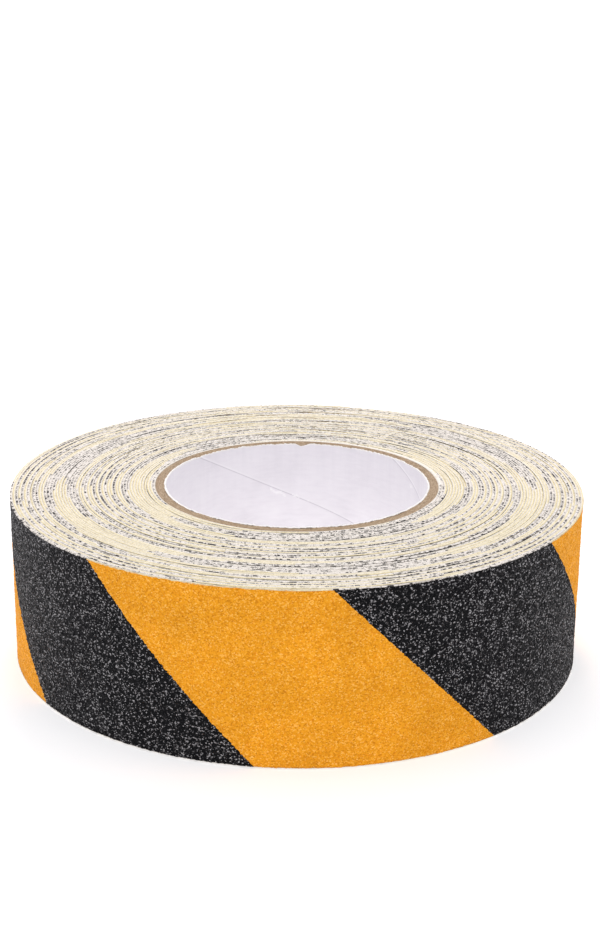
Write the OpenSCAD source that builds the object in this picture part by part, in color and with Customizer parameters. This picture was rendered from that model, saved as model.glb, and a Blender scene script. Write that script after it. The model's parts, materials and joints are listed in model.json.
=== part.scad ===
// Roll of hazard-striped anti-slip grit tape, lying flat on one wound face.
// The tape is one laminated strip: release liner, adhesive, film and grit coat. It is
// wound clockwise, seen from above, on a spiral-wound paperboard core. The free end of
// the strip opens as a chain of short lengths, and its tip peels off the release liner.
// Frame: origin on the core's axis at the lower face, +Z up the axis, and the free end
// at the back (+Y). The winding is a spiral of half circles that touch face to face: the
// front ones share the core's axis and the back ones stand one step to its right.

/* [Roll] */
// Width of the tape and of the core
roll_w = 50; // [25:5:100]
// Whole turns wound on the core; half a turn more brings the strip round the front
full_turns = 50; // [10:1:60]

/* [Core] */
// Diameter of the core's bore
bore_d = 78; // [70:0.5:90]
// Number of grey-board plies between the lining and the wrap
body_plies = 5; // [2:1:6]
// Thickness of one grey-board ply
body_ply_t = 0.44; // [0.4:0.02:0.6]
// Thickness of the white lining ply and of the brown wrap ply
face_ply_t = 0.45; // [0.4:0.05:0.6]

/* [Tape] */
// Thickness of the paper release liner
liner_t = 0.12; // [0.08:0.01:0.2]
// Thickness of the adhesive
adhesive_t = 0.10; // [0.05:0.01:0.15]
// Thickness of the carrier film
film_t = 0.13; // [0.1:0.01:0.2]
// Thickness of the grit coat, from the film to the tops of the grains
grit_t = 0.48; // [0.3:0.01:0.6]

/* [Free end] */
// Number of lengths that open away from the roll
tail_parts = 6; // [3:1:8]
// Angle of the roll that one length covers
tail_angle = 15; // [10:1:18]
// Number of short lengths that peel off the liner at the tip
tip_parts = 3; // [2:1:3]
// Angle of the roll that one tip length covers
tip_angle = 4; // [3:0.5:6]
// Gap that the unstuck end leaves to the turn beneath
tail_lift = 0.15; // [0.1:0.05:0.3]
// Gap between the end faces of two lengths
part_gap = 0.1; // [0.05:0.05:0.2]

/* [Closing tab] */
// Height of the clear tab that holds the tip down
tab_h = 24; // [10:1:24]
// Thickness of the clear tab
tab_t = 0.08; // [0.06:0.01:0.12]
// Length of the tab past the tip, on the turn beneath
tab_reach = 12; // [8:1:14]

/* [Hidden] */
$fn = 180;
core_r = bore_d / 2 + 2 * face_ply_t + body_plies * body_ply_t;
adhesive_at = liner_t;
film_at = adhesive_at + adhesive_t;
grit_at = film_at + film_t;
strip_t = grit_at + grit_t;
// A half circle's radius grows by half the strip's thickness every half turn
step = strip_t / 2;
core_gap = 0.05;
wind_r = core_r + core_gap;
half_turns = 2 * full_turns + 1;
tail_r = wind_r + half_turns * step + tail_lift;
tail_outer_r = tail_r + strip_t;
gap_angle = part_gap / tail_outer_r * 180 / PI;
tip_from = tail_parts * tail_angle;
tip_to = tip_from + tip_parts * tip_angle;
// The tip peels from just above the liner, which stays with the last length
peel_gap = 0.03;
tip_outer_r = tail_outer_r + peel_gap;
// The tab stands off the grit by the depth of its glue
tab_clear = 0.05;
tab_high_r = tip_outer_r + tab_clear;
tab_low_r = tail_r - tail_lift + tab_clear;
tab_angle = tab_reach / tail_outer_r * 180 / PI;
// The tab laps most of the tip's last length, and no other length
tab_lap_angle = tip_angle * 0.9;

BODY_PLIES = [for (i = [1:body_plies]) str("core_body_ply_", i)];
LAYERS = ["liner", "adhesive", "film", "grit"];
WOUND = [for (layer = LAYERS) str("wound_", layer)];
TAIL = [for (i = [1:tail_parts], layer = LAYERS) str("tail_", i, "_", layer)];
TIP = [for (i = [1:tip_parts], j = [1:3]) str("tip_", i, "_", LAYERS[j])];

function layer_at(j) = [0, adhesive_at, film_at, grit_at][j];
function layer_t(j) = [liner_t, adhesive_t, film_t, grit_t][j];
function layer_color(j) = ["ivory", "lightyellow", "orange", "dimgray"][j];

// A tube of the core's length
module ply(inner_r, thick) {
    difference() {
        cylinder(h = roll_w, r = inner_r + thick);
        translate([0, 0, -1])
            cylinder(h = roll_w + 2, r = inner_r);
    }
}

module core_lining_ply() {
    color("whitesmoke") ply(bore_d / 2, face_ply_t);
}

module core_body_ply(i) {
    color("tan") ply(bore_d / 2 + face_ply_t + (i - 1) * body_ply_t, body_ply_t);
}

module core_wrap_ply() {
    color("peru") ply(core_r - face_ply_t, face_ply_t);
}

// Part of a ring wall, from one angle clockwise to the other, counted from the -X side
module arc_wall(inner_r, thick, from, to, height = roll_w) {
    rotate([0, 0, 180 - to])
        rotate_extrude(angle = to - from)
            translate([inner_r, 0])
                square([thick, height]);
}

// Half turn number k of layer j: even ones pass the front, odd ones the back
module half_turn(k, j) {
    front = k % 2 == 0;
    translate([front ? 0 : step, 0, 0])
        rotate([0, 0, front ? 180 : 0])
            arc_wall(wind_r + k * step + layer_at(j), layer_t(j), 0, 180);
}

module wound_layer(j) {
    color(layer_color(j))
        for (k = [0:half_turns - 1])
            half_turn(k, j);
}

// Layer j of the free end between two angles
module tail_layer(j, from, to, lift = 0) {
    color(layer_color(j))
        translate([step, 0, 0])
            arc_wall(tail_r + layer_at(j) + lift, layer_t(j), from + gap_angle, to);
}

// The last length's liner runs on under the peeling tip
module tail_part(i, j) {
    to = i == tail_parts && j == 0 ? tip_to : i * tail_angle;
    tail_layer(j, (i - 1) * tail_angle, to);
}

module tip_part(i, j) {
    tail_layer(j, tip_from + (i - 1) * tip_angle, tip_from + i * tip_angle, peel_gap);
}

// Clear film that laps the tip, steps down its end and lies on the turn beneath. It is
// cut from one thick arc: under it for the tip, and over it past the step.
module closing_tab() {
    from = tip_to - tab_lap_angle;
    step_from = tip_to + gap_angle;
    step_to = step_from + tab_t / tail_outer_r * 180 / PI;
    to = step_to + tab_angle;
    rise = tab_high_r - tab_low_r;
    color("lightcyan")
        translate([step, 0, (roll_w - tab_h) / 2])
            difference() {
                arc_wall(tab_low_r, rise + tab_t, from, to, tab_h);
                translate([0, 0, -1])
                    arc_wall(tab_low_r - 1, rise + 1, from - 1, step_from, tab_h + 2);
                translate([0, 0, -1])
                    arc_wall(tab_low_r + tab_t, rise + 1, step_to, to + 1, tab_h + 2);
            }
}

core_lining_ply();
for (i = [1:body_plies])
    core_body_ply(i);
core_wrap_ply();
for (j = [0:3])
    wound_layer(j);
for (i = [1:tail_parts], j = [0:3])
    tail_part(i, j);
for (i = [1:tip_parts], j = [1:3])
    tip_part(i, j);
closing_tab();
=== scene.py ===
"""Roll of black and yellow striped grip tape on a paperboard core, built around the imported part."""
import json
import math

import bpy
import numpy as np
from mathutils import Matrix, Vector


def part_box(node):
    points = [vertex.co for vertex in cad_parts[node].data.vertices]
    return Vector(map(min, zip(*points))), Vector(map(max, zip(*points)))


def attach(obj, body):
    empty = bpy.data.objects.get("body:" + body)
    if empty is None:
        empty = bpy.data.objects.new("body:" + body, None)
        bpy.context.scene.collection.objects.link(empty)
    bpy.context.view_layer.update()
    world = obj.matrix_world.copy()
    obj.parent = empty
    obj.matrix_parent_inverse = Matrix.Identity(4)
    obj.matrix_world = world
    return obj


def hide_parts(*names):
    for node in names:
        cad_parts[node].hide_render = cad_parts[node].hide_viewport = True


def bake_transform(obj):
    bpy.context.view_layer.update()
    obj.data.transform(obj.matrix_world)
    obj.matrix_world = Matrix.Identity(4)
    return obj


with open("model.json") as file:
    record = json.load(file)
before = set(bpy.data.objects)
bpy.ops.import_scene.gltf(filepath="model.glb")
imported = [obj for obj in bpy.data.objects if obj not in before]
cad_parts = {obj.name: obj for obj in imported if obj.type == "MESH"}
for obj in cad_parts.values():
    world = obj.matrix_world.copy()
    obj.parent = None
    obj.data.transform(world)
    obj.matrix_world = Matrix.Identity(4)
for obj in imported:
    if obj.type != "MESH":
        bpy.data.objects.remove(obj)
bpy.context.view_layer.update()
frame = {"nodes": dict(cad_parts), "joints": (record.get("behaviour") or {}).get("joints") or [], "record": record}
rng = np.random.default_rng(11)

# ---------------- sizes, in millimetres, from the frame
MM = 0.001
LAYERS = ("liner", "adhesive", "film", "grit")
joints = {j["name"]: [1000 * x for x in j["pos_m"]] for j in frame["joints"]}
mounts = {m["name"]: m for m in frame["record"]["mounts"]}

WIDTH = 1000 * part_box("core_wrap_ply")[1].z
CORE_R = 1000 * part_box("core_wrap_ply")[1].x
BORE_R = mounts["core_bore"]["dims"]["r_mm"]
LINING_R = 1000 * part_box("core_lining_ply")[1].x
PLIES = sorted(n for n in frame["nodes"] if n.startswith("core_body_ply"))
PLY_R = [1000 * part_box(n)[1].x for n in PLIES]
OUTER_R = -1000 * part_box("wound_grit")[0].x
STEP = joints["tip_peel"][0]
PITCH = 2 * STEP
HALVES = round((OUTER_R - CORE_R) / STEP) - 1
TURNS = HALVES // 2
WIND_R = OUTER_R - (HALVES + 1) * STEP
LAYER_TOP = [PITCH - OUTER_R - 1000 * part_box("wound_" + l)[0].x for l in LAYERS]
LINER_T = LAYER_TOP[0]
TAIL_R = STEP - joints["tail_unwind"][0]
LIFT = TAIL_R - WIND_R - (HALVES + 2) * STEP
PEEL_GAP = joints["tip_peel"][1] - TAIL_R
TAIL_HINGES = sorted(n for n in joints if n.startswith("tail_unwind"))
TIP_HINGES = sorted(n for n in joints if n.startswith("tip_peel"))


def hinge_angle(name):
    """Degrees clockwise from the -X side at which a hinge stands."""
    x, y, _ = joints[name]
    return 180 - math.degrees(math.atan2(y, x - STEP))


TAIL_A = hinge_angle("tail_unwind_2")
TIP_FROM = hinge_angle("tip_peel")
TIP_A = hinge_angle("tip_peel_2") - TIP_FROM
TIP_TO = TIP_FROM + TIP_A * len(TIP_HINGES)


# ---------------- the wound strip's own coordinates
def place(n, phi, t):
    """x and y of the strip on turn n, phi clockwise from +X, and t out from the liner's back."""
    n, phi, t = np.broadcast_arrays(np.asarray(n, float), phi, t)
    back = phi > math.pi + 1e-9
    rho = WIND_R + (2 * n + back) * STEP + t
    return np.where(back, STEP, 0) + rho * np.cos(phi), -rho * np.sin(phi)


def length_at(n, phi):
    """Length of strip wound up to angle phi of turn n."""
    start = math.pi * (2 * WIND_R * n + STEP * (2 * n * n - n))
    r = WIND_R + 2 * n * STEP
    return start + r * np.minimum(phi, math.pi) + (r + STEP) * np.maximum(phi - math.pi, 0)


# The stripes: black for the first half of each repeat, slanting across the strip. The dashes on
# the wound edges repeat a little further apart than the stripes outside; the larger count of the
# two holds, so they join in the last turns.
INNER_REPEAT = 145.6
REPEAT_ANGLE, FIRST_ANGLE = 95.2, 35.2
OUTER_REPEAT = (WIND_R + 2 * TURNS * STEP) * math.radians(REPEAT_ANGLE)
SLANT = 0.351
BLACK_SHARE = 0.51
STRIPE_START = length_at(TURNS, math.radians(FIRST_ANGLE))
LAST_TURN = length_at(TURNS, 0.0)
INNER_PART = 0.242
INNER_PHASE = INNER_PART + math.floor(
    (LAST_TURN - STRIPE_START) / OUTER_REPEAT - LAST_TURN / INNER_REPEAT - INNER_PART)


def band(s, z):
    """Number of stripe repeats from the start, at length s and height z on the strip."""
    inner = s / INNER_REPEAT + INNER_PHASE
    outer = (s - STRIPE_START) / OUTER_REPEAT
    return np.maximum(inner, outer) + SLANT * (WIDTH - z) / WIDTH


# ---------------- grains, from one repeating tile
TILE_STEP = 0.1
TILE = (512, 1024)


def tile(sigma, seed):
    """Smooth random tile with unit spread; sigma is in millimetres."""
    noise = np.random.default_rng(seed).standard_normal(TILE)
    fz, fs = np.fft.fftfreq(TILE[0])[:, None], np.fft.fftfreq(TILE[1])[None, :]
    soft = np.exp(-2 * (math.pi * sigma / TILE_STEP) ** 2 * (fz**2 + fs**2))
    out = np.fft.ifft2(np.fft.fft2(noise) * soft).real
    return out / out.std()


GRAINS = np.clip(0.5 + 0.26 * (tile(0.13, 1) * 0.9 + tile(0.55, 2) * 0.35), 0, 1)
SHIFT_S, SHIFT_Z = tile(0.12, 3), tile(0.12, 4)
SLOW = tile(3.0, 5)


def sample(image, s, z):
    """Bilinear sample of a tile that repeats along s."""
    x, y = np.asarray(s) / TILE_STEP, np.asarray(z) / TILE_STEP
    x, y = np.broadcast_arrays(x, y)
    i, j = np.floor(x).astype(int), np.floor(y).astype(int)
    a, b = x - i, y - j
    i0, i1, j0, j1 = i % TILE[1], (i + 1) % TILE[1], j % TILE[0], (j + 1) % TILE[0]
    low = image[j0, i0] * (1 - a) + image[j0, i1] * a
    high = image[j1, i0] * (1 - a) + image[j1, i1] * a
    return low * (1 - b) + high * b


# ---------------- mesh making
def smooth(x):
    """Even rise from 0 to 1 that starts and ends level."""
    x = np.clip(x, 0, 1)
    return x * x * (3 - 2 * x)


def quads(rows, cols, loop_rows=False, flip=False):
    """Faces between the points of a grid; loop_rows joins the last row to the first."""
    r = np.arange(rows if loop_rows else rows - 1)[:, None]
    c = np.arange(cols - 1)[None, :]
    r1, c1 = (r + 1) % rows, (c + 1) % cols
    q = np.stack([r * cols + c, r * cols + c1, r1 * cols + c1, r1 * cols + c], -1)
    q = q.reshape(-1, 4)
    return q[:, ::-1] if flip else q


def build(name, points, faces, materials, zones=None, shade_smooth=False, **values):
    """A mesh object from points in millimetres. zones is a material number for each face, and
    values are attributes for the materials, with one or three numbers for each point."""
    mesh = bpy.data.meshes.new(name)
    points = np.asarray(points, float).reshape(-1, 3)
    mesh.vertices.add(len(points))
    mesh.vertices.foreach_set("co", (points * MM).astype(np.float32).ravel())
    mesh.loops.add(faces.size)
    mesh.loops.foreach_set("vertex_index", faces.astype(np.int32).ravel())
    mesh.polygons.add(len(faces))
    mesh.polygons.foreach_set("loop_start", np.arange(0, faces.size, 4, dtype=np.int32))
    for m in materials:
        mesh.materials.append(m)
    if zones is not None:
        mesh.polygons.foreach_set("material_index", np.asarray(zones, np.int32))
    mesh.polygons.foreach_set("use_smooth", np.full(len(faces), shade_smooth))
    for key, v in values.items():
        v = np.asarray(v, np.float32)
        if v.shape[-1] == 3 and v.ndim > 1 and v.size == 3 * len(points):
            mesh.attributes.new(key, "FLOAT_VECTOR", "POINT").data.foreach_set("vector", v.ravel())
        else:
            mesh.attributes.new(key, "FLOAT", "POINT").data.foreach_set("value", v.ravel())
    mesh.update(calc_edges=True)
    mesh.validate()
    obj = bpy.data.objects.new(name, mesh)
    bpy.context.scene.collection.objects.link(obj)
    return obj


# ---------------- materials
def new_material(name):
    """An empty material with one Principled shader."""
    mat = bpy.data.materials.new(name)
    mat.use_nodes = True
    tree = mat.node_tree
    tree.nodes.clear()
    out = tree.nodes.new("ShaderNodeOutputMaterial")
    shader = tree.nodes.new("ShaderNodeBsdfPrincipled")
    tree.links.new(shader.outputs[0], out.inputs[0])
    return mat, tree, shader


def put(tree, kind, inputs, out=0, **settings):
    """Adds a node, sets or links its inputs, and gives one of its outputs."""
    n = tree.nodes.new("ShaderNode" + kind)
    for key, value in settings.items():
        setattr(n, key, value)
    for key, value in inputs.items():
        if isinstance(value, bpy.types.NodeSocket):
            tree.links.new(value, n.inputs[key])
        else:
            n.inputs[key].default_value = value
    return n.outputs[out]


def calc(tree, operation, a, b=0.0, c=0.0, clamp=False):
    """A Math node; MULTIPLY_ADD gives a * b + c."""
    return put(tree, "Math", {0: a, 1: b, 2: c}, operation=operation, use_clamp=clamp)


def blend_color(tree, factor, a, b, mode="MIX"):
    def rgba(v):
        return v if isinstance(v, bpy.types.NodeSocket) else (*v, 1.0)

    return put(tree, "Mix", {0: factor, 6: rgba(a), 7: rgba(b)}, out=2,
               data_type="RGBA", blend_type=mode)


def ramp(tree, value, stops):
    """Colour from a value, between stops that each hold a position and a colour."""
    n = tree.nodes.new("ShaderNodeValToRGB")
    while len(n.color_ramp.elements) < len(stops):
        n.color_ramp.elements.new(0.5)
    for e, (at, color) in zip(n.color_ramp.elements, stops):
        e.position = at
        e.color = (*color, 1.0)
    tree.links.new(value, n.inputs[0])
    return n.outputs[0]


def attribute(tree, name, out="Vector"):
    n = tree.nodes.new("ShaderNodeAttribute")
    n.attribute_name = name
    return n.outputs[out]


def noise(tree, vector, scale, detail=2.0, rough=0.5):
    inputs = {"Vector": vector, "Scale": scale, "Detail": detail, "Roughness": rough}
    return put(tree, "TexNoise", inputs)


def remap(tree, value, low, high, to_low, to_high):
    """A value taken from one range to another, and held at the ends."""
    return put(tree, "MapRange", {0: value, 1: low, 2: high, 3: to_low, 4: to_high})


def stretched(tree, vector, scale):
    return put(tree, "Mapping", {0: vector, 3: scale})


def point(tree, x, y):
    return put(tree, "CombineXYZ", {0: x, 1: y, 2: 0.0})


def tape_axes(tree):
    """The tape attribute, and its parts: along, up and out, in millimetres."""
    tape = attribute(tree, "tape")
    n = tree.nodes.new("ShaderNodeSeparateXYZ")
    tree.links.new(tape, n.inputs[0])
    return tape, n.outputs[0], n.outputs[1], n.outputs[2]


def set_inputs(tree, shader, inputs):
    """Links or sets the shader's own sockets."""
    for key, value in inputs.items():
        if isinstance(value, bpy.types.NodeSocket):
            tree.links.new(value, shader.inputs[key])
        else:
            shader.inputs[key].default_value = value


def bump(tree, shader, height, strength, distance_mm):
    normal = put(tree, "Bump", {
        "Strength": strength, "Distance": distance_mm * MM, "Height": height})
    tree.links.new(normal, shader.inputs["Normal"])


def black_mask(tree, tape, ragged):
    """1 on the black stripes and 0 on the yellow ones, with a slightly ragged edge."""
    wander = calc(tree, "MULTIPLY_ADD", noise(tree, tape, 1.6, 3.0), ragged, -0.5 * ragged)
    at = calc(tree, "FRACT", calc(tree, "ADD", attribute(tree, "band", "Fac"), wander))
    return calc(tree, "LESS_THAN", at, BLACK_SHARE)


def grit_material():
    """Grains in resin: a cell pattern paints a few black grains pale, as painted glints."""
    mat, tree, shader = new_material("Grit")
    tape = attribute(tree, "tape")
    cell = put(tree, "TexVoronoi", {"Vector": tape, "Scale": 3.2, "Randomness": 1.0}, out=1)
    grain = put(tree, "SeparateColor", {0: cell})
    fine = noise(tree, tape, 5.5, 2.0, 0.6)
    part = calc(tree, "MULTIPLY", grain, 0.68)
    value = calc(tree, "MULTIPLY_ADD", fine, 0.35, part, clamp=True)
    # The pale top stops of the black ramp are painted glints on a few grains
    black = ramp(tree, value, [
        (0.0, (0.002, 0.002, 0.003)), (0.66, (0.003, 0.003, 0.004)),
        (0.75, (0.030, 0.028, 0.030)), (0.85, (0.36, 0.35, 0.36))])
    yellow = ramp(tree, value, [
        (0.0, (0.42, 0.145, 0.004)), (0.34, (0.72, 0.285, 0.011)),
        (0.70, (0.83, 0.355, 0.018)), (0.88, (0.92, 0.50, 0.11))])
    mask = black_mask(tree, tape, 0.008)
    tone = remap(tree, noise(tree, tape, 0.06, 2.0), 0.3, 0.7, 0.93, 1.07)
    shade = put(tree, "CombineColor", {0: tone, 1: tone, 2: tone})
    color = blend_color(tree, mask, yellow, black)
    set_inputs(tree, shader, {
        "Base Color": blend_color(tree, 1.0, color, shade, "MULTIPLY"),
        "Roughness": calc(tree, "MULTIPLY_ADD", mask, -0.12, 0.62),
        "Specular IOR Level": 0.06, "Sheen Weight": 0.05, "Sheen Roughness": 0.4})
    rise = noise(tree, tape, 4.2, 2.0, 0.6)
    bump(tree, shader, calc(tree, "ADD", rise, calc(tree, "MULTIPLY", grain, 0.5)), 0.55, 0.12)
    return mat


def edge_material():
    """The strip's cut edge: paper, glue, film and grains side by side."""
    mat, tree, shader = new_material("Cut_edge")
    tape, s, _, t = tape_axes(tree)
    depth = calc(tree, "DIVIDE", t, PITCH)
    base = ramp(tree, depth, [
        (0.0, (0.72, 0.68, 0.61)), (0.05, (0.94, 0.90, 0.83)), (0.16, (0.94, 0.90, 0.83)),
        (0.20, (0.84, 0.80, 0.73)), (0.34, (0.92, 0.88, 0.83)), (0.50, (0.93, 0.88, 0.83)),
        (0.93, (0.88, 0.83, 0.78)), (1.0, (0.70, 0.66, 0.61))])
    mask = black_mask(tree, tape, 0.02)
    # Dark dashes where grains show: fine specks and longer clumps, more of them in some places
    specks = noise(tree, point(tree, s, calc(tree, "MULTIPLY", t, 1.6)), 1.9, 3.0, 0.8)
    clumps = noise(tree, point(tree, s, 3.0), 0.75, 3.0, 0.75)
    fading = noise(tree, point(tree, s, 7.0), 0.05, 2.0)
    mixed = calc(tree, "ADD", calc(tree, "MULTIPLY", specks, 0.40),
                 calc(tree, "MULTIPLY", clumps, 0.60))
    level = remap(tree, fading, 0.30, 0.70, 0.53, 0.475)
    dash = remap(tree, calc(tree, "SUBTRACT", mixed, level), 0.0, 0.03, 0.0, 1.0)
    outer = remap(tree, depth, 0.30, 0.42, 0.0, 1.0)
    strength = remap(tree, mask, 0.0, 1.0, 0.30, 0.95)
    dash = calc(tree, "MULTIPLY", calc(tree, "MULTIPLY", dash, outer), strength)
    dark = blend_color(tree, mask, (0.56, 0.46, 0.24), (0.006, 0.006, 0.010))
    tint = blend_color(tree, mask, (1.0, 0.95, 0.70), (0.97, 0.97, 0.98))
    grit_zone = remap(tree, depth, 0.34, 0.44, 0.0, 1.0)
    tinted = blend_color(tree, grit_zone, base, blend_color(tree, 1.0, base, tint, "MULTIPLY"))
    dirty = remap(tree, noise(tree, tape, 2.2, 4.0, 0.8), 0.47, 0.66, 0.0, 0.60)
    mottled = blend_color(tree, dirty, tinted, (0.42, 0.37, 0.29))
    set_inputs(tree, shader, {
        "Base Color": blend_color(tree, dash, mottled, dark),
        "Roughness": 0.6, "Specular IOR Level": 0.08})
    bump(tree, shader, noise(tree, tape, 3.0, 3.0, 0.7), 0.5, 0.12)
    return mat


def paper_material(name, colors, rough, scale, strength):
    """Paper with fibres that run along the strip or round the core."""
    mat, tree, shader = new_material(name)
    tape = attribute(tree, "tape")
    fibre = noise(tree, stretched(tree, tape, (0.25, 1.0, 1.0)), scale, 4.0, 0.65)
    cloud = noise(tree, tape, 0.05, 3.0)
    value = calc(tree, "MULTIPLY_ADD", fibre, 0.6, calc(tree, "MULTIPLY", cloud, 0.4))
    stops = [(0.30 + 0.40 * i / (len(colors) - 1), c) for i, c in enumerate(colors)]
    set_inputs(tree, shader, {"Base Color": ramp(tree, value, stops), "Roughness": rough})
    bump(tree, shader, fibre, strength, 0.08)
    return mat


# Height of the greyer part of the lining below its mouth: partly handling marks, partly painted shade
HANDLING_AND_SHADE_DEPTH = 28


def lining_material():
    """White lining paper, with its spiral seams as fine grey lines, partly painted shade, beside a painted
    highlight on a ridge.
    """
    mat, tree, shader = new_material("Core_lining")
    tape, _, height, _ = tape_axes(tree)
    fibre = noise(tree, stretched(tree, tape, (0.25, 1.0, 1.0)), 0.9, 4.0, 0.6)
    cloud = noise(tree, tape, 0.06, 3.0)
    value = calc(tree, "MULTIPLY_ADD", fibre, 0.4, calc(tree, "MULTIPLY", cloud, 0.6))
    paper = ramp(tree, value, [
        (0.34, (0.86, 0.835, 0.865)), (0.50, (0.925, 0.90, 0.927)), (0.64, (0.96, 0.94, 0.96))])
    # The mouth is greyer than the rest, in streaks: partly handling marks, partly painted shade inside the bore
    streak = noise(tree, stretched(tree, tape, (1.0, 0.08, 1.0)), 0.45, 3.0, 0.6)
    handling_and_shade = remap(tree, height, WIDTH - HANDLING_AND_SHADE_DEPTH, WIDTH, 0.0, 0.42)
    grey = calc(tree, "MULTIPLY", handling_and_shade, remap(tree, streak, 0.35, 0.7, 0.9, 1.15))
    paper = blend_color(tree, grey, paper, (0.56, 0.54, 0.60))
    seam = attribute(tree, "seam", "Fac")
    # The grey line at each seam is partly the joint, partly painted shade in its groove
    line = remap(tree, calc(tree, "ABSOLUTE", seam), 0.04, 0.26, 0.46, 0.0)
    above = calc(tree, "ABSOLUTE", calc(tree, "ADD", seam, -0.5))
    # Painted highlight: a paler band just above each seam, along its ridge
    painted_highlight = remap(tree, above, 0.1, 0.4, 0.35, 0.0)
    seamed = blend_color(tree, line, paper, (0.40, 0.37, 0.42))
    with_painted_highlight = blend_color(tree, painted_highlight, seamed, (0.95, 0.94, 0.96))
    flake = attribute(tree, "flake", "Fac")
    set_inputs(tree, shader, {
        "Base Color": blend_color(tree, flake, with_painted_highlight, (0.97, 0.96, 0.97)), "Roughness": 0.7})
    bump(tree, shader, fibre, 0.2, 0.08)
    return mat


def board_material():
    """Kraft board, with the joints between its plies as thin darker lines."""
    mat, tree, shader = new_material("Core_board")
    tape, _, _, out = tape_axes(tree)
    fibre = noise(tree, stretched(tree, tape, (0.3, 1.0, 2.5)), 2.0, 4.0, 0.7)
    kraft = ramp(tree, fibre, [
        (0.30, (0.20, 0.13, 0.075)), (0.50, (0.42, 0.305, 0.195)), (0.72, (0.62, 0.49, 0.36))])
    wander = calc(tree, "MULTIPLY_ADD", noise(tree, tape, 0.35, 2.0), 0.5, -0.25)
    plies = calc(tree, "DIVIDE", calc(tree, "ADD", out, wander), PLY_R[1] - PLY_R[0])
    joint = calc(tree, "LESS_THAN", calc(tree, "FRACT", plies), 0.16)
    line = calc(tree, "MULTIPLY", joint, 0.35)
    set_inputs(tree, shader, {
        "Base Color": blend_color(tree, line, kraft, (0.20, 0.13, 0.07)), "Roughness": 0.9})
    groove = calc(tree, "MULTIPLY", joint, 0.4)
    bump(tree, shader, calc(tree, "SUBTRACT", fibre, groove), 0.6, 0.15)
    return mat


def film_material():
    """Clear plastic film of the tab that holds the tip."""
    mat, tree, shader = new_material("Clear_film")
    tape = attribute(tree, "tape")
    haze = noise(tree, tape, 0.35, 3.0)
    set_inputs(tree, shader, {
        "Base Color": ramp(tree, haze, [(0.3, (0.78, 0.81, 0.82)), (0.7, (0.86, 0.88, 0.88))]),
        "Alpha": remap(tree, haze, 0.3, 0.7, 0.24, 0.33), "Roughness": 0.12, "IOR": 1.5})
    bump(tree, shader, noise(tree, tape, 0.5, 2.0), 0.35, 0.25)
    return mat


GRIT = grit_material()
EDGE = edge_material()
LINER = paper_material(
    "Release_liner", [(0.60, 0.53, 0.40), (0.70, 0.63, 0.50), (0.78, 0.72, 0.60)], 0.5, 1.2, 0.25)
GLUE = paper_material(
    "Adhesive", [(0.52, 0.45, 0.29), (0.64, 0.57, 0.40), (0.72, 0.66, 0.51)], 0.3, 0.8, 0.3)
LINING = lining_material()
FIBRE = paper_material(
    "Torn_paper", [(0.76, 0.74, 0.72), (0.89, 0.87, 0.85), (0.96, 0.95, 0.93)], 0.85, 2.5, 0.7)
BOARD = board_material()
FILM = film_material()


# ---------------- the grit side of the outer turn
# Its points stand GRID apart, from RIM inside one edge to RIM inside the other. Grains are
# up to GRAIN_DEPTH deep and pull points aside by GRAIN_SHIFT; the coat waves by WAVE_DEPTH.
GRID = 0.36
RIM = 0.12
GRAIN_DEPTH = 0.34
GRAIN_SHIFT = 0.09
WAVE_DEPTH = 0.04
GRIT_ROWS = np.linspace(RIM, WIDTH - RIM, int(WIDTH / GRID) + 1)


def grit_points(n, phi, lift=0.0):
    """The grains: each point depends only on its place on the strip, so neighbours meet."""
    s = length_at(n, phi)
    s2, z2 = np.broadcast_arrays(s[None, :], GRIT_ROWS[:, None])
    inner = (z2 > 0.3) & (z2 < WIDTH - 0.3)
    z3 = z2 + GRAIN_SHIFT * sample(SHIFT_Z, s2, z2) * inner
    wave = WAVE_DEPTH * (1 + np.clip(sample(SLOW, s2, z2), -1, 1))
    depth = GRAIN_DEPTH * (1 - sample(GRAINS, s2, z2)) + wave
    along = GRAIN_SHIFT * sample(SHIFT_S, s2, z2) / (WIND_R + 2 * n * STEP)
    x, y = place(n, phi[None, :] + along, PITCH - depth + lift)
    return x, y, z3, s2


def roll_side(name, n, start, end):
    """Part of the roll's outer side, with its top and bottom edges turned over in two rows each."""
    columns = max(8, int((end - start) * OUTER_R / GRID))
    phi = np.linspace(start, end, columns + 1)
    x, y, zz, s = grit_points(n, phi)
    rows = [(x, y, zz, s, np.full_like(x, PITCH))]
    jag = sample(GRAINS, s[0] * 1.3, 20.0)
    top = WIDTH - 0.06 + 0.16 * jag
    turned = ((0.14, 0.15 + 0.10 * jag, top - 0.08 * jag + 0.08),
              (0.40, 0.19 + 0.08 * jag, top - 0.22))
    for t, low, high in turned:
        ex, ey = place(n, phi, PITCH - t - 0.1 * jag)
        depth = np.full_like(ex, PITCH - t)
        rows.insert(0, tuple(v[None] for v in (ex, ey, low, s[0], depth)))
        rows.append(tuple(v[None] for v in (ex, ey, high, s[0], depth)))
    x, y, zz, s, t = (np.vstack([row[i] for row in rows]) for i in range(5))
    row = np.arange(len(x) - 1)
    edge = (row < len(turned)) | (row >= len(row) - len(turned))
    obj = build(name, np.stack([x, y, zz], -1), quads(len(x), columns + 1, flip=True),
                [GRIT, EDGE], np.repeat(edge, columns).astype(int),
                tape=np.stack([s, zz, t], -1), band=band(s, zz))
    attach(obj, "roll")
    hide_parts("wound_grit")


# The first hinge's bend starts a little way back on the roll
FIRST_BEND = 2.5
LAST_PHI = math.pi - math.radians(FIRST_BEND)
quarter = math.pi / 2
roll_side("roll_side_1", TURNS, 0.0, quarter)
roll_side("roll_side_2", TURNS, quarter, LAST_PHI)
roll_side("roll_side_3", TURNS - 1, math.pi, 3 * quarter)
roll_side("roll_side_4", TURNS - 1, 3 * quarter, 4 * quarter)

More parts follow.
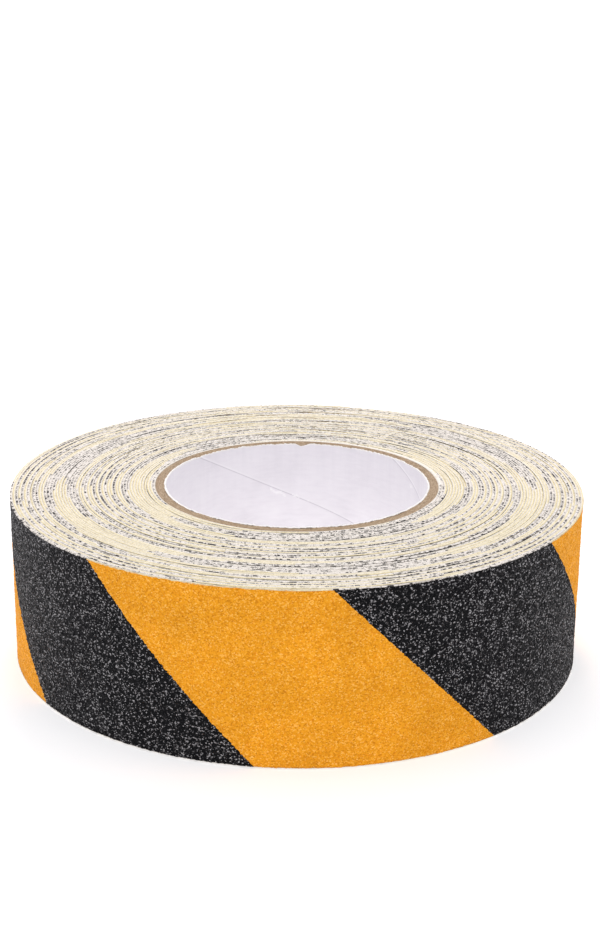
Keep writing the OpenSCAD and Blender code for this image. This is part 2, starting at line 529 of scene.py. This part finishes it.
# ---------------- the wound edges of the strip
# One turn's edge from the liner's back outwards: depth, height, and how rough it is there
PROFILE_T = np.array([0.0, 0.045, 0.12, 0.17, 0.24, 0.36, 0.60, 0.79, PITCH])
PROFILE_Z = np.array([-0.42, -0.03, 0.01, -0.09, 0.0, -0.02, -0.05, -0.09, -0.42])
PROFILE_JAG = np.array([0.0, 0.02, 0.03, 0.04, 0.03, 0.04, 0.16, 0.18, 0.0])
GROOVE_Z = -0.3
HIGHEST_TURN, LOWEST_TURN = 0.14, -0.20
# Limits of the upper edges from the strip's width, and of the lower ones from the floor
UPPER_LOW, UPPER_HIGH = -0.5, 0.35
LOWER_AT, LOWER_HIGH = 0.36, 0.6

# How far each turn stands above or below the strip's width: its own part, and a part that
# neighbours share. The last turns are level, to meet the grit side.
alone = rng.standard_normal(TURNS + 2)
shared = np.convolve(rng.standard_normal(TURNS + 6), np.ones(5) / 2.2, "valid")
turn_height = 0.05 * alone + 0.05 * shared
turn_height -= turn_height.max() - HIGHEST_TURN
turn_height = np.maximum(turn_height, LOWEST_TURN)
turn_height[-3:] = 0.0


def wound_edge(name, first, last, columns, top, picks):
    """The edges of turns first to last, above or below, at the picked points of the profile."""
    t_at, z_at, jag_at = PROFILE_T[picks], PROFILE_Z[picks], PROFILE_JAG[picks]
    points, tapes, bands, faces, base = [], [], [], [], 0
    for n in range(first, last + 1):
        full = n < TURNS
        count = columns if full else columns // 2
        phi = np.linspace(0, 2 * math.pi if full else LAST_PHI, count + 1)
        s = length_at(n, phi)
        to_next = (turn_height[n + 1] - turn_height[n]) * phi / (2 * math.pi)
        height = turn_height[n] + to_next + 0.05 * sample(SLOW, s * 0.12, 3.0)
        nearby = sample(SLOW, s * 0.45, 21.0) * 0.05
        rows = []
        for t, z, jag in zip(t_at, z_at, jag_at):
            if z < GROOVE_Z:
                # The groove between two turns, pressed shut in places
                open_part = np.clip(0.35 + 0.5 * sample(SLOW, s * 0.8, 7.0 + 20 * t), 0, 1)
                rows.append(-0.04 - 0.20 * open_part + height)
            else:
                rough = (sample(GRAINS, s * 1.7, 5 + 11 * t) - 0.5) * jag * 2.0
                rows.append(z + height + nearby + rough)
        up = np.clip(np.array(rows), UPPER_LOW, UPPER_HIGH)
        across = t_at[:, None]
        if n == 0:
            # The first turn's back reaches in to the core's wrap
            inward = -STEP * (1 + np.cos(phi)) * (phi > math.pi) - 0.05
            across = across + np.where(across == 0, inward, 0.0)
            up[0] = up[1] - 0.15
        x, y = place(n, phi[None, :], across)
        below = np.clip(LOWER_AT - (up - up.min()) * 0.5, 0.0, LOWER_HIGH)
        level = WIDTH + up if top else below
        s2 = np.broadcast_to(s, x.shape)
        points.append(np.stack([x, y, level], -1).reshape(-1, 3))
        depth = np.broadcast_to(t_at[:, None], x.shape)
        tapes.append(np.stack([s2, level, depth], -1).reshape(-1, 3))
        bands.append(band(s2, WIDTH if top else 0.0).ravel())
        faces.append(quads(len(t_at), count + 1, flip=not top) + base)
        base += x.size
    obj = build(name, np.vstack(points), np.vstack(faces), [EDGE],
                tape=np.vstack(tapes), band=np.concatenate(bands))
    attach(obj, "roll")
    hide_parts("wound_liner", "wound_adhesive", "wound_film")


every = np.arange(len(PROFILE_T))
few = np.array([0, 1, 4, 7, 8])
TOP_COLUMNS, BOTTOM_COLUMNS = 720, 480
wound_edge("wound_top_1", 0, 16, TOP_COLUMNS, True, every)
wound_edge("wound_top_2", 17, 33, TOP_COLUMNS, True, every)
wound_edge("wound_top_3", 34, TURNS, TOP_COLUMNS, True, every)
wound_edge("wound_bottom_1", 0, 25, BOTTOM_COLUMNS, False, few)
wound_edge("wound_bottom_2", 26, TURNS, BOTTOM_COLUMNS, False, few)


# ---------------- the paperboard core
COUNT = 720


def ring_points(r, z):
    """Rows of a body of revolution: r and z may vary round the ring."""
    theta = np.linspace(0, 2 * math.pi, COUNT + 1)
    r, z = (np.hstack([v, v[:, :1]]) for v in (r, z))
    return np.stack([r * np.cos(theta), r * np.sin(theta), z], -1), theta, r, z


ring = np.linspace(0, 2 * math.pi, COUNT, endpoint=False)


def round_noise(terms, seed):
    """Random wave with unit spread that closes on itself round the ring."""
    g = np.random.default_rng(seed)
    out = np.zeros(COUNT)
    for k in terms:
        out += g.standard_normal() * np.sin(k * ring + g.uniform(0, 6.28))
    return out / max(1e-9, out.std())


fuzz = np.random.default_rng(21).standard_normal(COUNT)
soft_edge = round_noise(range(3, 60), 22)

# A small nick in the lining's rim at the back
NICK, NICK_WIDTH = math.radians(88), math.radians(2.6)
nick = np.exp(-(((ring - NICK) / NICK_WIDTH) ** 2))

# Flakes of paper beside the seams: middle and length in degrees, bottom and top above the seam
FLAKES = [(99.0, 8.0, -1.5, -0.5), (90.5, 4.0, -0.1, 0.7),
          (84.0, 2.0, 0.5, 0.9), (25.0, 3.0, -1.6, -1.0)]

# Two seams rise round the lining: their height at one angle, the rise, and a slight wander
SEAM_AT = 98.0
SEAM_Z = 34.4
SEAM_OFFSETS = (0.0, 31.0)
SEAM_RISE = 0.31
SEAM_LEAD = 360 * SEAM_RISE
SEAM_WANDER = 1.13


def seam_distance(z, theta):
    """Height above the nearest seam of the lining."""
    past = np.degrees(theta) - SEAM_AT
    wander = SEAM_WANDER * (1 - np.cos(np.radians(3 * past)))
    off = [z - (SEAM_Z + offset + SEAM_RISE * past + wander) + turn * SEAM_LEAD
           for offset in SEAM_OFFSETS for turn in (-1, 0, 1)]
    off = np.stack(np.broadcast_arrays(*off))
    return np.take_along_axis(off, np.abs(off).argmin(0)[None], 0)[0]


def bore_piece():
    """The white lining: gentle dents, spiral seams and a torn top edge."""
    z = np.concatenate([[0.05], np.linspace(0.5, WIDTH - 1.2, 98),
                        [WIDTH - 0.6, WIDTH - 0.3, WIDTH + 0.05]])
    r = np.full((len(z), COUNT), BORE_R)
    seam = seam_distance(z[:, None], ring[None, :])
    r -= 0.07 * np.exp(-((seam / 0.45) ** 2))
    r += 0.03 * np.exp(-(((seam - 0.9) / 0.5) ** 2))
    r -= 0.05 * np.exp(-(((seam + 3.0) / 2.5) ** 2))
    flake = np.zeros_like(r)
    for at, length, low, high in FLAKES:
        u = (np.degrees(ring)[None, :] - at) / length
        v = (seam - low + 0.35 * np.sin(9 * u)) / (high - low)
        flake = np.maximum(flake, (np.abs(u) < 0.5) * np.clip(4 * (0.5 - np.abs(v - 0.5)), 0, 1))
    r -= 0.18 * flake
    dents = 0.05 * round_noise(range(2, 12), 23)[None, :] * np.sin(z[:, None] / 9.0 + 1)
    dents += 0.03 * round_noise(range(5, 40), 24)[None, :] * np.sin(z[:, None] / 4.0)
    r = r + dents
    zz = np.broadcast_to(z[:, None], r.shape).copy()
    torn = np.clip(0.06 * soft_edge + 0.08 * fuzz, -0.25, 0.2)
    zz[-1] += torn - 0.8 * nick
    zz[-2] += 0.5 * torn - 0.6 * nick
    zz[-3] -= 0.4 * nick
    r[-1] -= 0.06 + 0.05 * np.abs(fuzz)
    rim_r = np.stack([r[-1] + 0.16, np.full(COUNT, LINING_R + 0.02)])
    rim_z = np.stack([zz[-1], zz[-1] - 0.08])
    foot_r = np.stack([np.full(COUNT, LINING_R), r[0] + 0.1])
    foot_z = np.stack([np.full(COUNT, 0.12), np.full(COUNT, 0.02)])
    r, zz = np.vstack([foot_r, r, rim_r]), np.vstack([foot_z, zz, rim_z])
    points, theta, r, zz = ring_points(r, zz)
    faces = quads(len(r), COUNT + 1, flip=True)
    rim = (np.arange(len(faces)) // COUNT >= len(r) - 4).astype(int)
    tape = np.stack([np.broadcast_to(theta * BORE_R, r.shape), zz, r - BORE_R], -1)
    flake = np.vstack([np.zeros((2, COUNT)), flake, np.zeros((2, COUNT))])
    obj = build("core_lining", points, faces, [LINING, FIBRE], rim, True, tape=tape,
                seam=seam_distance(zz, theta[None, :]), flake=np.hstack([flake, flake[:, :1]]))
    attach(obj, "roll")
    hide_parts("core_lining_ply")


def board_piece(name, top):
    """Cut edge of the board plies, with the outer wall that shows beside the first turn."""
    between = np.array(PLY_R)
    by_joints = between[:, None] + [-0.26, -0.03, 0.03]
    stops = np.concatenate([[LINING_R - 0.10, LINING_R + 0.04], by_joints.ravel(),
                            [(between[-1] + CORE_R) / 2, CORE_R - 0.02]])
    r = np.broadcast_to(stops[:, None], (len(stops), COUNT))
    grain = np.random.default_rng(31 + top).standard_normal(r.shape)
    height = -0.10 + 0.035 * grain + 0.05 * round_noise(range(2, 30), 33)[None, :]
    joint = np.abs(stops[:, None] - between).min(1) < 0.04
    height[joint] -= 0.07
    height[-1] = -0.12
    height = np.vstack([np.full(COUNT, -4.0), height, np.full(COUNT, -5.0)])
    r = np.vstack([np.full(COUNT, LINING_R - 0.11), r, np.full(COUNT, CORE_R)])
    z = WIDTH + height if top else np.maximum(0.0, -height - 0.06)
    points, theta, r, z = ring_points(r, z)
    tape = np.stack([np.broadcast_to(theta * CORE_R, r.shape), z, r - LINING_R], -1)
    obj = build(name, points, quads(len(r), COUNT + 1, flip=top), [BOARD], tape=tape)
    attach(obj, "roll")
    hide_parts("core_wrap_ply", *PLIES)


bore_piece()
board_piece("core_board_top", True)
board_piece("core_board_bottom", False)


# ---------------- the free end
# Rows on a side without grit, and how far the grit is turned over at its edges
SMOOTH_ROWS = 27
TURNED = 0.12


def strip_piece(name, start, end, low, high, lift, back_material, cap=False):
    """A closed length of the strip, from angle start to end past the -X side and from depth low
    to high, lifted off the roll. cap closes its far end; the others meet a neighbour."""
    columns = max(6, int(round(math.radians(end - start) * OUTER_R / GRID)))
    a = np.linspace(math.radians(start), math.radians(end), columns + 1)
    phi = math.pi + a
    s = length_at(TURNS, phi)
    rise = lift(np.degrees(a))
    grit = high > LAYER_TOP[2]
    smooth_z = np.linspace(RIM, WIDTH - RIM, SMOOTH_ROWS)
    if grit:
        x, y, zz, s2 = grit_points(TURNS, phi, rise[None, :])
    else:
        s2, zz = np.broadcast_arrays(s[None, :], smooth_z[:, None])
        x, y = place(TURNS, phi[None, :], np.full(s2.shape, high) + rise[None, :])
    # Rows round the strip: 0 on the front, 1 on a cut edge, 2 on the back
    rows = [(x, y, zz, s2, np.full(s2.shape, high))]
    kinds = [0] * len(zz)

    def edge_rows(depths, top):
        for t in depths:
            rough = (sample(GRAINS, s * 1.7, 5 + 11 * t) - 0.5) * (0.20 if t > 0.4 else 0.05)
            level = (WIDTH - 0.02 + rough) if top else (0.10 - rough * 0.4)
            ex, ey = place(TURNS, phi, np.full_like(s, t) + rise)
            rows.append(tuple(v[None] for v in (ex, ey, level, s, np.full_like(s, t))))
            kinds.append(1)

    inner = PROFILE_T[(PROFILE_T > low + 0.02) & (PROFILE_T < high - 0.03)][::-1]
    depths = np.concatenate([[high - (TURNED if grit else 0.01)], inner, [low + 0.01]])
    edge_rows(depths, True)
    s3, z3 = np.broadcast_arrays(s[None, :], smooth_z[::-1, None])
    ix, iy = place(TURNS, phi[None, :], np.full(s3.shape, low) + rise[None, :])
    rows.append((ix, iy, z3, s3, np.full(s3.shape, low)))
    kinds += [2] * SMOOTH_ROWS
    edge_rows(depths[::-1], False)
    x, y, zz, s2, depth = (np.vstack([row[i] for row in rows]) for i in range(5))
    if cap:
        mid = 0.5 * (low + high)
        mx, my = place(TURNS, phi[-1:], np.full(1, mid) + rise[-1])
        x = np.hstack([x, np.full((len(x), 1), mx[0])])
        y = np.hstack([y, np.full((len(y), 1), my[0])])
        zz = np.hstack([zz, np.clip(zz[:, -1:], 0.2, WIDTH - 0.2)])
        s2 = np.hstack([s2, s2[:, -1:]])
        depth = np.hstack([depth, np.full((len(depth), 1), mid)])
    kinds = np.array(kinds)
    edge = (kinds == 1) | (np.roll(kinds, -1) == 1)
    zones = np.repeat(np.where(edge, 1, kinds)[:, None], x.shape[1] - 1, 1)
    if cap:
        zones[:, -1] = 1
    return build(name, np.stack([x, y, zz], -1), quads(*x.shape, loop_rows=True, flip=True),
                 [GRIT if grit else LINER, EDGE, back_material], zones.ravel(),
                 tape=np.stack([s2, zz, depth], -1), band=band(s2, zz))


def tail_lift(a):
    """How far the unstuck end stands off the roll, at an angle in degrees."""
    return LIFT * smooth(a / TAIL_A)


def tip_lift(a):
    """The same for the peeling tip, which also stands off its liner."""
    return LIFT + PEEL_GAP * smooth((a - TIP_FROM) / TIP_A)


def end_point(a):
    """Where a bend starts or ends, in metres, on the strip's outer surface."""
    x, y = place(TURNS, math.pi + math.radians(a), PITCH + LIFT)
    return [MM * float(x), MM * float(y), MM * WIDTH / 2]


def bending(name, start, end, low, high, lift, back, hinge, reach):
    """A length of strip from start to end; the points reach degrees either side of its hinge are worked out but
    not used.
    """
    piece = strip_piece(name, start, end, low, high, lift, back)
    at = hinge_angle(hinge)
    end_point(at - reach)
    end_point(at + reach)
    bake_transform(piece)
    return piece


tails = len(TAIL_HINGES)
half = TAIL_A / 2
for i in range(1, tails + 1):
    hinge = f"tail_unwind_{i}" if i > 1 else "tail_unwind"
    reach = half if i > 1 else FIRST_BEND
    start = (i - 1) * TAIL_A - reach
    piece = bending(f"free_end_{i}", start, (i - 0.5) * TAIL_A, 0.0, PITCH, tail_lift, LINER,
                    hinge, reach)
    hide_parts(*[f"tail_{i}_{l}" for l in LAYERS])

last_tail = f"tail_{tails}"
TIP_BEND = 1.2
tip_start = TIP_FROM - TIP_BEND
flat = strip_piece(f"free_end_{tails + 1}", TIP_FROM - half, tip_start, 0.0, PITCH,
                   tail_lift, LINER)
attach(flat, last_tail)
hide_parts(*[f"{last_tail}_{l}" for l in LAYERS])
liner_tip = strip_piece("liner_tip", tip_start, TIP_TO, 0.0, LINER_T,
                        lambda a: np.full_like(a, LIFT), LINER, cap=True)
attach(liner_tip, last_tail)
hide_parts(f"{last_tail}_liner")

tips = len(TIP_HINGES)
for i in range(1, tips + 1):
    hinge = f"tip_peel_{i}" if i > 1 else "tip_peel"
    reach = TIP_A / 2 if i > 1 else TIP_BEND
    at = TIP_FROM + (i - 1) * TIP_A
    piece = bending(f"tip_{i}", at - reach, at + TIP_A / 2, LINER_T, PITCH, tip_lift, GLUE,
                    hinge, reach)
    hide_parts(*[f"tip_{i}_{l}" for l in LAYERS[1:]])
tip_end = strip_piece("tip_end", TIP_TO - TIP_A / 2, TIP_TO, LINER_T, PITCH,
                      tip_lift, GLUE, cap=True)
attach(tip_end, f"tip_{tips}")
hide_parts(*[f"tip_{tips}_{l}" for l in LAYERS[1:]])


# ---------------- the clear tab
# Gap below it, thickness, degrees that it laps the tip, and radius of its corners
TAB_CLEAR = 0.06
TAB_T = 0.08
TAB_LAP = 0.9 * TIP_A
TAB_CORNER = 2.5
TAB_ROWS, TAB_COLUMNS = 48, 90
RADIANS_PER_DEGREE = 0.01745


def tab_piece():
    """A clear tab with round corners that laps the tip and falls to the turn beneath."""
    lo, hi = (1000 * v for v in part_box("closing_tab"))
    far = math.degrees(math.atan2(lo.y, hi.x - STEP))
    start, end = TIP_TO - TAB_LAP, 180 - far
    u, v = np.linspace(-1, 1, TAB_COLUMNS), np.linspace(-1, 1, TAB_ROWS)
    uu, vv = np.meshgrid(u, v)
    half_len = math.radians(end - start) * TAIL_R / 2
    half_h = (hi.z - lo.z) / 2
    upward = half_h * vv
    into = np.maximum(0, TAB_CORNER - (half_h - np.abs(upward)))
    limit = half_len - TAB_CORNER + np.sqrt(np.maximum(0, TAB_CORNER**2 - into**2))
    across = half_len * uu * limit / half_len
    a = (start + end) / 2 + np.degrees(across / TAIL_R)
    fall = smooth((a - TIP_TO - 0.05) / 1.1)
    t = (PITCH + LIFT + PEEL_GAP + TAB_CLEAR) * (1 - fall) + TAB_CLEAR * fall
    t = t + 0.03 * np.sin(a * 9.0) * np.sin(upward * 0.9) * (fall > 0.99)
    t = t + 0.02 * np.abs(sample(SLOW, a * 9, 20 + upward * 0.4))
    count = TAB_ROWS * TAB_COLUMNS
    faces, points = [], []
    for k, off in enumerate((0.0, TAB_T)):
        x, y = place(TURNS, math.pi + np.radians(a), t + off)
        points.append(np.stack([x, y, (lo.z + hi.z) / 2 + upward], -1).reshape(-1, 3))
        faces.append(quads(TAB_ROWS, TAB_COLUMNS, flip=k == 1) + k * count)
    rim = np.concatenate([np.arange(TAB_COLUMNS),
                          np.arange(1, TAB_ROWS) * TAB_COLUMNS + TAB_COLUMNS - 1,
                          (TAB_ROWS - 1) * TAB_COLUMNS + np.arange(TAB_COLUMNS - 2, -1, -1),
                          np.arange(TAB_ROWS - 2, 0, -1) * TAB_COLUMNS])
    after = np.roll(rim, -1)
    faces.append(np.stack([after, rim, rim + count, after + count], -1))
    along = np.tile((a * TAIL_R * RADIANS_PER_DEGREE).ravel(), 2)
    tape = np.stack([along, np.tile(upward.ravel(), 2), np.zeros(2 * count)], -1)
    obj = build("holding_tab", np.vstack(points), np.vstack(faces), [FILM], None, True, tape=tape)
    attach(obj, f"tip_{tips}")
    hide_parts("closing_tab")


tab_piece()

# ---------------- floor, light and camera
# The camera's lens, place and angles come from the fit of a camera to the photo's outlines
FLOOR_SIZE = 40000.0
FLOOR_DROP = 0.25
FLOOR_GLOW = 0.36
WORLD_STRENGTH = 1.0
KEY_ENERGY, FRONT_ENERGY = 1.5, 0.55
LENS, SENSOR = 63.26, 36.0
CAMERA_SCALE = 0.996
CAMERA_AT = (0, -0.46745 * CAMERA_SCALE, 0.20679 * CAMERA_SCALE)
CAMERA_PAN, CAMERA_DOWN, CAMERA_ROLL = -0.108, 18.034, 0.5473


def floor():
    """A plain pale floor, just below the roll."""
    mat, tree, shader = new_material("Floor")
    tone = noise(tree, put(tree, "TexCoord", {}, out=3), 3.0, 2.0)
    set_inputs(tree, shader, {
        "Base Color": ramp(tree, tone, [(0.3, (0.80, 0.80, 0.81)), (0.7, (0.82, 0.82, 0.83))]),
        "Roughness": 0.9, "Emission Color": (1.0, 0.995, 1.0, 1.0),
        "Emission Strength": FLOOR_GLOW})
    corners = [[x * FLOOR_SIZE, y * FLOOR_SIZE, -FLOOR_DROP]
               for x, y in ((-1, -1), (1, -1), (1, 1), (-1, 1))]
    build("floor", corners, np.array([[0, 1, 2, 3]]), [mat])


def area_light(name, energy, size, location, target, color):
    """A round lamp that faces its target."""
    data = bpy.data.lights.new(name, "AREA")
    data.energy, data.size, data.color = energy, size, color
    data.shape = "DISK"
    obj = bpy.data.objects.new(name, data)
    bpy.context.scene.collection.objects.link(obj)
    obj.location = location
    toward = [a - b for a, b in zip(target, location)]
    obj.rotation_euler = Vector(toward).to_track_quat("-Z", "Y").to_euler()


floor()
world = bpy.data.worlds.new("Studio")
world.use_nodes = True
background = world.node_tree.nodes["Background"].inputs
background[0].default_value = (1.0, 0.99, 1.0, 1.0)
background[1].default_value = WORLD_STRENGTH
bpy.context.scene.world = world
area_light("Key", KEY_ENERGY, 0.35, (-0.04, 0.50, 0.34), (0, 0.06, 0.05), (1.0, 0.92, 0.94))
area_light("Front", FRONT_ENERGY, 0.12, (-0.45, -0.80, 0.50), (0, 0, 0.02), (1.0, 0.99, 1.0))

camera = bpy.data.objects.new("Camera", bpy.data.cameras.new("Camera"))
bpy.context.scene.collection.objects.link(camera)
camera.data.lens, camera.data.sensor_width = LENS, SENSOR
camera.data.clip_start, camera.data.clip_end = 0.01, 50.0
turn = Matrix.Rotation(math.radians(CAMERA_PAN), 4, "Z")
tilt = turn @ Matrix.Rotation(math.radians(90 - CAMERA_DOWN), 4, "X")
roll = Matrix.Rotation(math.radians(CAMERA_ROLL), 4, "Z")
camera.matrix_world = Matrix.Translation(CAMERA_AT) @ tilt @ roll
bpy.context.scene.camera = camera
bpy.context.scene.view_settings.view_transform = "Standard"
bpy.context.scene.view_settings.look = "None"
